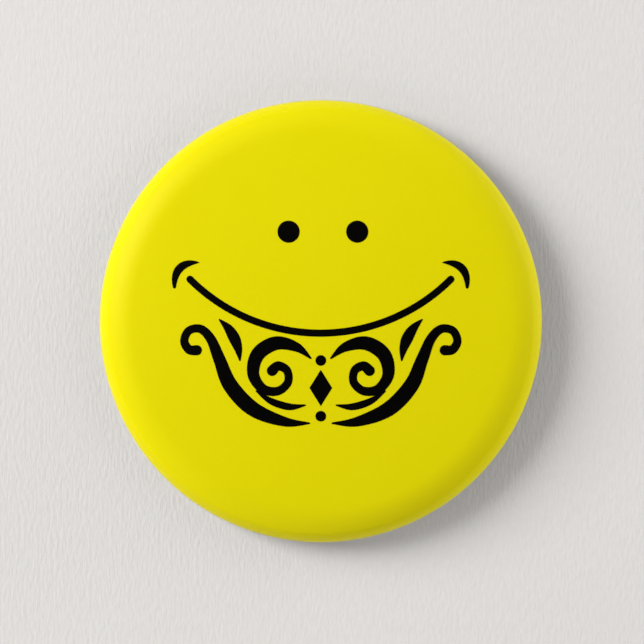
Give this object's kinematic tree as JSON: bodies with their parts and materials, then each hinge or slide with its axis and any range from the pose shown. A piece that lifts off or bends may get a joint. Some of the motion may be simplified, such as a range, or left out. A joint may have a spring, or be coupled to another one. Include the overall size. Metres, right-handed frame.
{
  "type": "button badge",
  "caption": "Round domed tinplate button badge with a printed paper face under clear film, a closed back with a well, and a riveted bar pin whose stem locks in a turning safety catch.",
  "frame": {"origin": "centre of the plane that the rolled lip rests on, with the badge lying on its back", "axes": "+Z out through the face, +Y the top of the badge as it is worn, +X the wearer's left, which is the viewer's right of the face"},
  "size_m": [0.0572, 0.0572, 0.008],
  "materials": {
    "clear_film": "clear polyester film, smooth with a soft gloss",
    "printed_paper": "coated paper, printed solid yellow with black line art",
    "shell_tinplate": "bare tinplate, pressed",
    "back_tinplate": "bare tinplate, pressed, bright with fine rolling lines",
    "bar_steel": "nickel-plated steel strip, tumbled",
    "rivet_steel": "plated steel",
    "stem_steel": "hard-drawn nickel-plated steel wire, polished point",
    "catch_steel": "nickel-plated steel"
  },
  "bodies": {
    "badge": {"clear_film": "clear_film", "printed_disc": "printed_paper", "front_shell": "shell_tinplate", "back_plate": "back_tinplate", "pin_bar": "bar_steel", "rivet_left": "rivet_steel", "rivet_right": "rivet_steel", "hinge_rivet": "rivet_steel", "catch_body": "catch_steel"},
    "stem": {"pin_stem": "stem_steel"},
    "lock": {"catch_lock": "catch_steel"}
  },
  "joints": [
    {"name": "stem_hinge", "type": "hinge", "parent": "badge", "child": "stem", "pos_m": [0.0132, 0.005, 0.003], "axis": [0, -1, 0], "range_deg": [0, 100]},
    {"name": "catch_turn", "type": "hinge", "parent": "badge", "child": "lock", "pos_m": [-0.0126, 0.005, 0.0021], "axis": [1, 0, 0], "range_deg": [-65, 0]}
  ]
}
